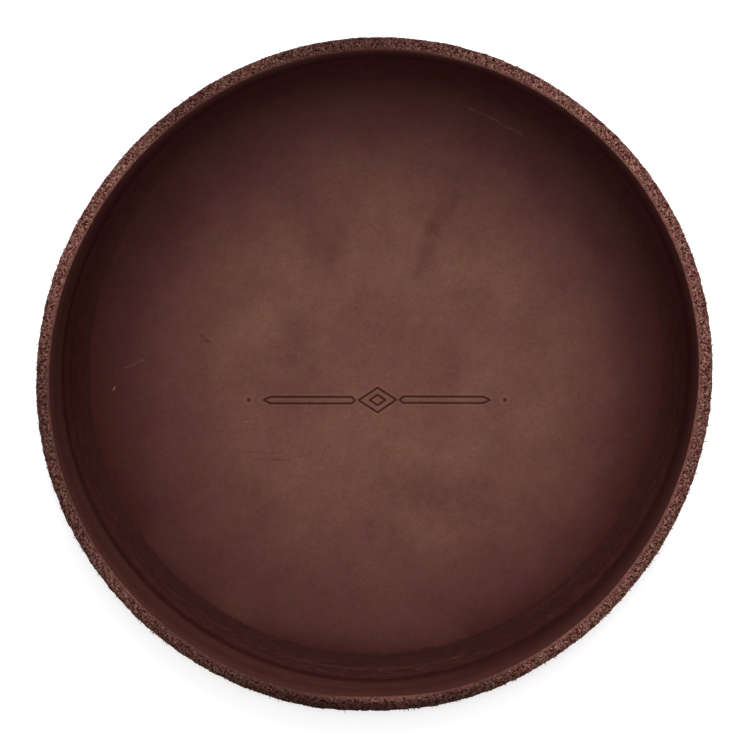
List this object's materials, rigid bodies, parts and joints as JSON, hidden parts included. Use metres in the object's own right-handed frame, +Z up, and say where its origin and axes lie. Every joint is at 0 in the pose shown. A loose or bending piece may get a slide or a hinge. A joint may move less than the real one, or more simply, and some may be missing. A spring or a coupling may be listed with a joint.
{
  "type": "catch-all tray",
  "caption": "Round open catch-all tray of wet-moulded leather: flat floor, coved foot with a pressed crease, low near-upright wall and a knife-cut rim.",
  "frame": {"origin": "centre of the flat underside, on the surface that the tray stands on", "axes": "+Z up along the tray's round axis, out of its open mouth; +X and +Y lie in the floor and are free to choose, as the tray is round"},
  "size_m": [0.1524, 0.1524, 0.0295],
  "materials": {
    "flesh_leather": "matte",
    "grain_leather": "satin"
  },
  "bodies": {
    "root": {"outer_shell": "flesh_leather", "grain_lining": "grain_leather"}
  },
  "joints": []
}
